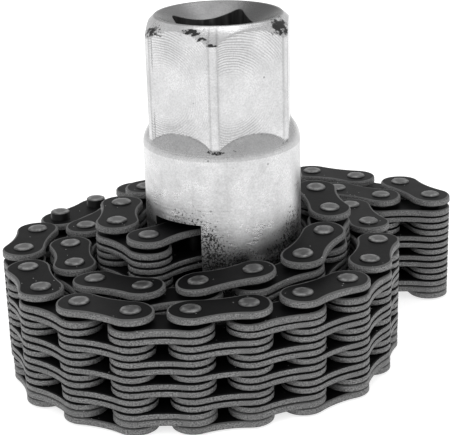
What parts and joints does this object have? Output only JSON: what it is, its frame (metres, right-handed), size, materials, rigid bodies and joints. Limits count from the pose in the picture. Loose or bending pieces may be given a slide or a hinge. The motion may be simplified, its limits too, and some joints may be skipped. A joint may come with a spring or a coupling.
{
  "type": "oil filter wrench",
  "caption": "Chain oil filter wrench: a leaf chain pinned in the collar of a steel socket with a square drive and a hexagon head.",
  "frame": {"origin": "centre of the socket's base, on the surface the wrench stands on", "axes": "+Z along the socket's axis, towards the square drive; +X to the right seen from the front, -Y towards the front"},
  "size_m": [0.0839, 0.0768, 0.0622],
  "materials": {
    "socket_steel": "bright zinc plate over turned and milled steel",
    "pin_steel": "ground",
    "chain_steel": "oiled black, with brighter stamped edges"
  },
  "bodies": {
    "socket": {"socket": "socket_steel", "anchor_pin": "pin_steel"},
    "link_01": {"pin_link_01": "chain_steel"},
    "link_02": {"inner_link_02": "chain_steel"},
    "link_03": {"pin_link_03": "chain_steel"},
    "link_04": {"inner_link_04": "chain_steel"},
    "link_05": {"pin_link_05": "chain_steel"},
    "link_06": {"inner_link_06": "chain_steel"},
    "link_07": {"pin_link_07": "chain_steel"},
    "link_08": {"inner_link_08": "chain_steel"},
    "link_09": {"pin_link_09": "chain_steel"},
    "link_10": {"inner_link_10": "chain_steel"},
    "link_11": {"pin_link_11": "chain_steel"},
    "link_12": {"inner_link_12": "chain_steel"},
    "link_13": {"pin_link_13": "chain_steel"},
    "link_14": {"inner_link_14": "chain_steel"},
    "link_15": {"pin_link_15": "chain_steel"},
    "link_16": {"inner_link_16": "chain_steel"},
    "link_17": {"pin_link_17": "chain_steel"},
    "link_18": {"inner_link_18": "chain_steel"},
    "link_19": {"pin_link_19": "chain_steel"},
    "link_20": {"inner_link_20": "chain_steel"},
    "link_21": {"pin_link_21": "chain_steel"},
    "link_22": {"inner_link_22": "chain_steel"},
    "link_23": {"pin_link_23": "chain_steel"},
    "link_24": {"inner_link_24": "chain_steel"},
    "link_25": {"pin_link_25": "chain_steel"},
    "link_26": {"inner_link_26": "chain_steel"},
    "link_27": {"pin_link_27": "chain_steel"},
    "link_28": {"inner_link_28": "chain_steel"},
    "link_29": {"pin_link_29": "chain_steel"},
    "link_30": {"inner_link_30": "chain_steel"},
    "link_31": {"pin_link_31": "chain_steel"},
    "link_32": {"inner_link_32": "chain_steel"},
    "link_33": {"pin_link_33": "chain_steel"},
    "link_34": {"inner_link_34": "chain_steel"},
    "link_35": {"pin_link_35": "chain_steel"},
    "link_36": {"inner_link_36": "chain_steel"},
    "link_37": {"pin_link_37": "chain_steel"},
    "link_38": {"inner_link_38": "chain_steel"},
    "link_39": {"pin_link_39": "chain_steel"},
    "link_40": {"inner_link_40": "chain_steel"},
    "link_41": {"pin_link_41": "chain_steel"},
    "link_42": {"inner_link_42": "chain_steel"},
    "link_43": {"pin_link_43": "chain_steel"},
    "link_44": {"inner_link_44": "chain_steel"},
    "link_45": {"pin_link_45": "chain_steel"},
    "link_46": {"inner_link_46": "chain_steel"},
    "link_47": {"pin_link_47": "chain_steel"},
    "link_48": {"inner_link_48": "chain_steel"},
    "link_49": {"pin_link_49": "chain_steel"}
  },
  "joints": [
    {"name": "anchor_hinge", "type": "hinge", "parent": "socket", "child": "link_01", "pos_m": [-0.00526, -0.00683, 0.01699], "axis": [0, 0, 1], "range_deg": [0, 10]},
    {"name": "hinge_01_02", "type": "hinge", "parent": "link_01", "child": "link_02", "pos_m": [-0.01277, -0.01269, 0.01699], "axis": [0, 0, 1], "range_deg": [0, 27]},
    {"name": "hinge_02_03", "type": "hinge", "parent": "link_02", "child": "link_03", "pos_m": [-0.01863, -0.00519, 0.01699], "axis": [0, 0, 1], "range_deg": [0, 12.3]},
    {"name": "hinge_03_04", "type": "hinge", "parent": "link_03", "child": "link_04", "pos_m": [-0.01846, 0.00434, 0.01699], "axis": [0, 0, 1], "range_deg": [0, 7.9]},
    {"name": "hinge_04_05", "type": "hinge", "parent": "link_04", "child": "link_05", "pos_m": [-0.01444, 0.01297, 0.01699], "axis": [0, 0, 1], "range_deg": [0, 8.9]},
    {"name": "hinge_05_06", "type": "hinge", "parent": "link_05", "child": "link_06", "pos_m": [-0.00704, 0.01896, 0.01699], "axis": [0, 0, 1], "range_deg": [0, 5.7]},
    {"name": "hinge_06_07", "type": "hinge", "parent": "link_06", "child": "link_07", "pos_m": [0.00173, 0.02268, 0.01685], "axis": [0.0388, -0.0075, 0.9992], "range_deg": [0, 12.5]},
    {"name": "hinge_07_08", "type": "hinge", "parent": "link_07", "child": "link_08", "pos_m": [0.01107, 0.02087, 0.01647], "axis": [0.0388, -0.0075, 0.9992], "range_deg": [0, 14.8]},
    {"name": "hinge_08_09", "type": "hinge", "parent": "link_08", "child": "link_09", "pos_m": [0.01719, 0.01358, 0.01591], "axis": [0.0141, -0.0726, 0.9973], "range_deg": [0, 11.4]},
    {"name": "hinge_09_10", "type": "hinge", "parent": "link_09", "child": "link_10", "pos_m": [0.019, 0.00426, 0.0152], "axis": [0.0141, -0.0726, 0.9973], "range_deg": [0, 7.7]},
    {"name": "hinge_10_11", "type": "hinge", "parent": "link_10", "child": "link_11", "pos_m": [0.01768, -0.00514, 0.01441], "axis": [-0.0382, -0.0784, 0.9962], "range_deg": [0, 7.6]},
    {"name": "hinge_11_12", "type": "hinge", "parent": "link_11", "child": "link_12", "pos_m": [0.01352, -0.01367, 0.01358], "axis": [-0.0382, -0.0784, 0.9962], "range_deg": [0, 14.3]},
    {"name": "hinge_12_13", "type": "hinge", "parent": "link_12", "child": "link_13", "pos_m": [0.00538, -0.01856, 0.01276], "axis": [-0.0762, -0.0219, 0.9969], "range_deg": [0, 6.7]},
    {"name": "hinge_13_14", "type": "hinge", "parent": "link_13", "child": "link_14", "pos_m": [-0.00374, -0.02117, 0.012], "axis": [-0.0762, -0.0219, 0.9969], "range_deg": [0, 6.4]},
    {"name": "hinge_14_15", "type": "hinge", "parent": "link_14", "child": "link_15", "pos_m": [-0.01324, -0.0215, 0.01136], "axis": [-0.0434, 0.0251, 0.9987], "range_deg": [0, 15.1]},
    {"name": "hinge_15_16", "type": "hinge", "parent": "link_15", "child": "link_16", "pos_m": [-0.02148, -0.01675, 0.01088], "axis": [-0.0434, 0.0251, 0.9987], "range_deg": [0, 15]},
    {"name": "hinge_16_17", "type": "hinge", "parent": "link_16", "child": "link_17", "pos_m": [-0.0261, -0.00842, 0.01062], "axis": [-0.0006, 0.0036, 1], "range_deg": [0, 9.5]},
    {"name": "hinge_17_18", "type": "hinge", "parent": "link_17", "child": "link_18", "pos_m": [-0.02775, 0.00096, 0.01059], "axis": [-0.0006, 0.0036, 1], "range_deg": [0, 11.2]},
    {"name": "hinge_18_19", "type": "hinge", "parent": "link_18", "child": "link_19", "pos_m": [-0.02577, 0.01028, 0.01059], "axis": [0, 0, 1], "range_deg": [0, 11]},
    {"name": "hinge_19_20", "type": "hinge", "parent": "link_19", "child": "link_20", "pos_m": [-0.02058, 0.01826, 0.01059], "axis": [0, 0, 1], "range_deg": [0, 8.6]},
    {"name": "hinge_20_21", "type": "hinge", "parent": "link_20", "child": "link_21", "pos_m": [-0.01339, 0.02451, 0.01059], "axis": [0, 0, 1], "range_deg": [0, 6.6]},
    {"name": "hinge_21_22", "type": "hinge", "parent": "link_21", "child": "link_22", "pos_m": [-0.00506, 0.02913, 0.01059], "axis": [0, 0, 1], "range_deg": [0, 9]},
    {"name": "hinge_22_23", "type": "hinge", "parent": "link_22", "child": "link_23", "pos_m": [0.00422, 0.03127, 0.01059], "axis": [0, 0, 1], "range_deg": [0, 7.5]},
    {"name": "hinge_23_24", "type": "hinge", "parent": "link_23", "child": "link_24", "pos_m": [0.01374, 0.03127, 0.01059], "axis": [0, 0, 1], "range_deg": [0, 13]},
    {"name": "hinge_24_25", "type": "hinge", "parent": "link_24", "child": "link_25", "pos_m": [0.02257, 0.02771, 0.01059], "axis": [0, 0, 1], "range_deg": [0, 5.4]},
    {"name": "hinge_25_26", "type": "hinge", "parent": "link_25", "child": "link_26", "pos_m": [0.03074, 0.0228, 0.01059], "axis": [0, 0, 1], "range_deg": [0, 5.4]},
    {"name": "hinge_26_27", "type": "hinge", "parent": "link_26", "child": "link_27", "pos_m": [0.04024, 0.02214, 0.01059], "axis": [0, 0, 1], "range_deg": [-12.4, 0]},
    {"name": "hinge_27_28", "type": "hinge", "parent": "link_27", "child": "link_28", "pos_m": [0.03548, 0.03038, 0.01059], "axis": [0, 0, 1], "range_deg": [-12.2, 0]},
    {"name": "hinge_28_29", "type": "hinge", "parent": "link_28", "child": "link_29", "pos_m": [0.02707, 0.03486, 0.01059], "axis": [0, 0, 1], "range_deg": [-1.3, 0]},
    {"name": "hinge_29_30", "type": "hinge", "parent": "link_29", "child": "link_30", "pos_m": [0.01844, 0.03888, 0.01059], "axis": [0, 0, 1], "range_deg": [-9.2, 0]},
    {"name": "hinge_30_31", "type": "hinge", "parent": "link_30", "child": "link_31", "pos_m": [0.00893, 0.03955, 0.01059], "axis": [0, 0, 1], "range_deg": [-3.7, 0]},
    {"name": "hinge_31_32", "type": "hinge", "parent": "link_31", "child": "link_32", "pos_m": [-0.00057, 0.03888, 0.01059], "axis": [0, 0, 1], "range_deg": [-6.4, 0]},
    {"name": "hinge_32_33", "type": "hinge", "parent": "link_32", "child": "link_33", "pos_m": [-0.00968, 0.0361, 0.01059], "axis": [0, 0, 1], "range_deg": [-7.8, 0]},
    {"name": "hinge_33_34", "type": "hinge", "parent": "link_33", "child": "link_34", "pos_m": [-0.01775, 0.03105, 0.01059], "axis": [0, 0, 1], "range_deg": [-3.8, 0]},
    {"name": "hinge_34_35", "type": "hinge", "parent": "link_34", "child": "link_35", "pos_m": [-0.02516, 0.02506, 0.01059], "axis": [0, 0, 1], "range_deg": [-5.7, 0]},
    {"name": "hinge_35_36", "type": "hinge", "parent": "link_35", "child": "link_36", "pos_m": [-0.03141, 0.01787, 0.01059], "axis": [0, 0, 1], "range_deg": [-12.6, 0]},
    {"name": "hinge_36_37", "type": "hinge", "parent": "link_36", "child": "link_37", "pos_m": [-0.03466, 0.00892, 0.01059], "axis": [0, 0, 1], "range_deg": [-7.5, 0]},
    {"name": "hinge_37_38", "type": "hinge", "parent": "link_37", "child": "link_38", "pos_m": [-0.03599, -0.00052, 0.01059], "axis": [0, 0, 1], "range_deg": [-13.1, 0]},
    {"name": "hinge_38_39", "type": "hinge", "parent": "link_38", "child": "link_39", "pos_m": [-0.03401, -0.00983, 0.01059], "axis": [0, 0, 1], "range_deg": [-5.5, 0]},
    {"name": "hinge_39_40", "type": "hinge", "parent": "link_39", "child": "link_40", "pos_m": [-0.03075, -0.01878, 0.01059], "axis": [0, 0, 1], "range_deg": [-19.1, 0]},
    {"name": "hinge_40_41", "type": "hinge", "parent": "link_40", "child": "link_41", "pos_m": [-0.02378, -0.02528, 0.01059], "axis": [0, 0, 1], "range_deg": [-12.5, 0]},
    {"name": "hinge_41_42", "type": "hinge", "parent": "link_41", "child": "link_42", "pos_m": [-0.01522, -0.02945, 0.01059], "axis": [0, 0, 1], "range_deg": [-19, 0]},
    {"name": "hinge_42_43", "type": "hinge", "parent": "link_42", "child": "link_43", "pos_m": [-0.0057, -0.02962, 0.01059], "axis": [0, 0, 1], "range_deg": [-9.5, 0]},
    {"name": "hinge_43_44", "type": "hinge", "parent": "link_43", "child": "link_44", "pos_m": [0.00365, -0.0278, 0.01059], "axis": [0, 0, 1], "range_deg": [-8.96, 0]},
    {"name": "hinge_44_45", "type": "hinge", "parent": "link_44", "child": "link_45", "pos_m": [0.01248, -0.02424, 0.01059], "axis": [0, 0, 1], "range_deg": [-11, 0]},
    {"name": "hinge_45_46", "type": "hinge", "parent": "link_45", "child": "link_46", "pos_m": [0.02028, -0.01877, 0.01059], "axis": [0, 0, 1], "range_deg": [-22.6, 0]},
    {"name": "hinge_46_47", "type": "hinge", "parent": "link_46", "child": "link_47", "pos_m": [0.0249, -0.01044, 0.01059], "axis": [0, 0, 1], "range_deg": [-12.6, 0]},
    {"name": "hinge_47_48", "type": "hinge", "parent": "link_47", "child": "link_48", "pos_m": [0.02737, -0.00124, 0.01059], "axis": [0, 0, 1], "range_deg": [-17.6, 0]},
    {"name": "hinge_48_49", "type": "hinge", "parent": "link_48", "child": "link_49", "pos_m": [0.0267, 0.00826, 0.01059], "axis": [0, 0, 1], "range_deg": [-10.5, 0]}
  ],
  "couplings": [
    {"joint": "anchor_hinge", "follows": "hinge_43_44", "ratio": -1.1164},
    {"joint": "hinge_01_02", "follows": "hinge_43_44", "ratio": -3.0144},
    {"joint": "hinge_02_03", "follows": "hinge_43_44", "ratio": -1.363},
    {"joint": "hinge_03_04", "follows": "hinge_43_44", "ratio": -0.8737},
    {"joint": "hinge_04_05", "follows": "hinge_43_44", "ratio": -0.9844},
    {"joint": "hinge_05_06", "follows": "hinge_43_44", "ratio": -0.6291},
    {"joint": "hinge_06_07", "follows": "hinge_43_44", "ratio": -1.3863},
    {"joint": "hinge_07_08", "follows": "hinge_43_44", "ratio": -1.647},
    {"joint": "hinge_08_09", "follows": "hinge_43_44", "ratio": -1.2669},
    {"joint": "hinge_09_10", "follows": "hinge_43_44", "ratio": -0.8577},
    {"joint": "hinge_10_11", "follows": "hinge_43_44", "ratio": -0.8388},
    {"joint": "hinge_11_12", "follows": "hinge_43_44", "ratio": -1.5858},
    {"joint": "hinge_12_13", "follows": "hinge_43_44", "ratio": -0.7427},
    {"joint": "hinge_13_14", "follows": "hinge_43_44", "ratio": -0.7135},
    {"joint": "hinge_14_15", "follows": "hinge_43_44", "ratio": -1.6776},
    {"joint": "hinge_15_16", "follows": "hinge_43_44", "ratio": -1.6703},
    {"joint": "hinge_16_17", "follows": "hinge_43_44", "ratio": -1.0514},
    {"joint": "hinge_17_18", "follows": "hinge_43_44", "ratio": -1.2494},
    {"joint": "hinge_18_19", "follows": "hinge_43_44", "ratio": -1.2232},
    {"joint": "hinge_19_20", "follows": "hinge_43_44", "ratio": -0.9553},
    {"joint": "hinge_20_21", "follows": "hinge_43_44", "ratio": -0.7339},
    {"joint": "hinge_21_22", "follows": "hinge_43_44", "ratio": -1.0019},
    {"joint": "hinge_22_23", "follows": "hinge_43_44", "ratio": -0.833},
    {"joint": "hinge_23_24", "follows": "hinge_43_44", "ratio": -1.4416},
    {"joint": "hinge_24_25", "follows": "hinge_43_44", "ratio": -0.6029},
    {"joint": "hinge_25_26", "follows": "hinge_43_44", "ratio": -0.6029},
    {"joint": "hinge_26_27", "follows": "hinge_43_44", "ratio": 1.3844},
    {"joint": "hinge_27_28", "follows": "hinge_43_44", "ratio": 1.3576},
    {"joint": "hinge_28_29", "follows": "hinge_43_44", "ratio": 0.1364},
    {"joint": "hinge_29_30", "follows": "hinge_43_44", "ratio": 1.0182},
    {"joint": "hinge_30_31", "follows": "hinge_43_44", "ratio": 0.4121},
    {"joint": "hinge_31_32", "follows": "hinge_43_44", "ratio": 0.7091},
    {"joint": "hinge_32_33", "follows": "hinge_43_44", "ratio": 0.8636},
    {"joint": "hinge_33_34", "follows": "hinge_43_44", "ratio": 0.4242},
    {"joint": "hinge_34_35", "follows": "hinge_43_44", "ratio": 0.6364},
    {"joint": "hinge_35_36", "follows": "hinge_43_44", "ratio": 1.4},
    {"joint": "hinge_36_37", "follows": "hinge_43_44", "ratio": 0.8364},
    {"joint": "hinge_37_38", "follows": "hinge_43_44", "ratio": 1.4545},
    {"joint": "hinge_38_39", "follows": "hinge_43_44", "ratio": 0.6061},
    {"joint": "hinge_39_40", "follows": "hinge_43_44", "ratio": 2.1273},
    {"joint": "hinge_40_41", "follows": "hinge_43_44", "ratio": 1.3909},
    {"joint": "hinge_41_42", "follows": "hinge_43_44", "ratio": 2.1212},
    {"joint": "hinge_42_43", "follows": "hinge_43_44", "ratio": 1.0545},
    {"joint": "hinge_44_45", "follows": "hinge_43_44", "ratio": 1.2212},
    {"joint": "hinge_45_46", "follows": "hinge_43_44", "ratio": 2.5212},
    {"joint": "hinge_46_47", "follows": "hinge_43_44", "ratio": 1.4},
    {"joint": "hinge_47_48", "follows": "hinge_43_44", "ratio": 1.9576},
    {"joint": "hinge_48_49", "follows": "hinge_43_44", "ratio": 1.1667}
  ]
}
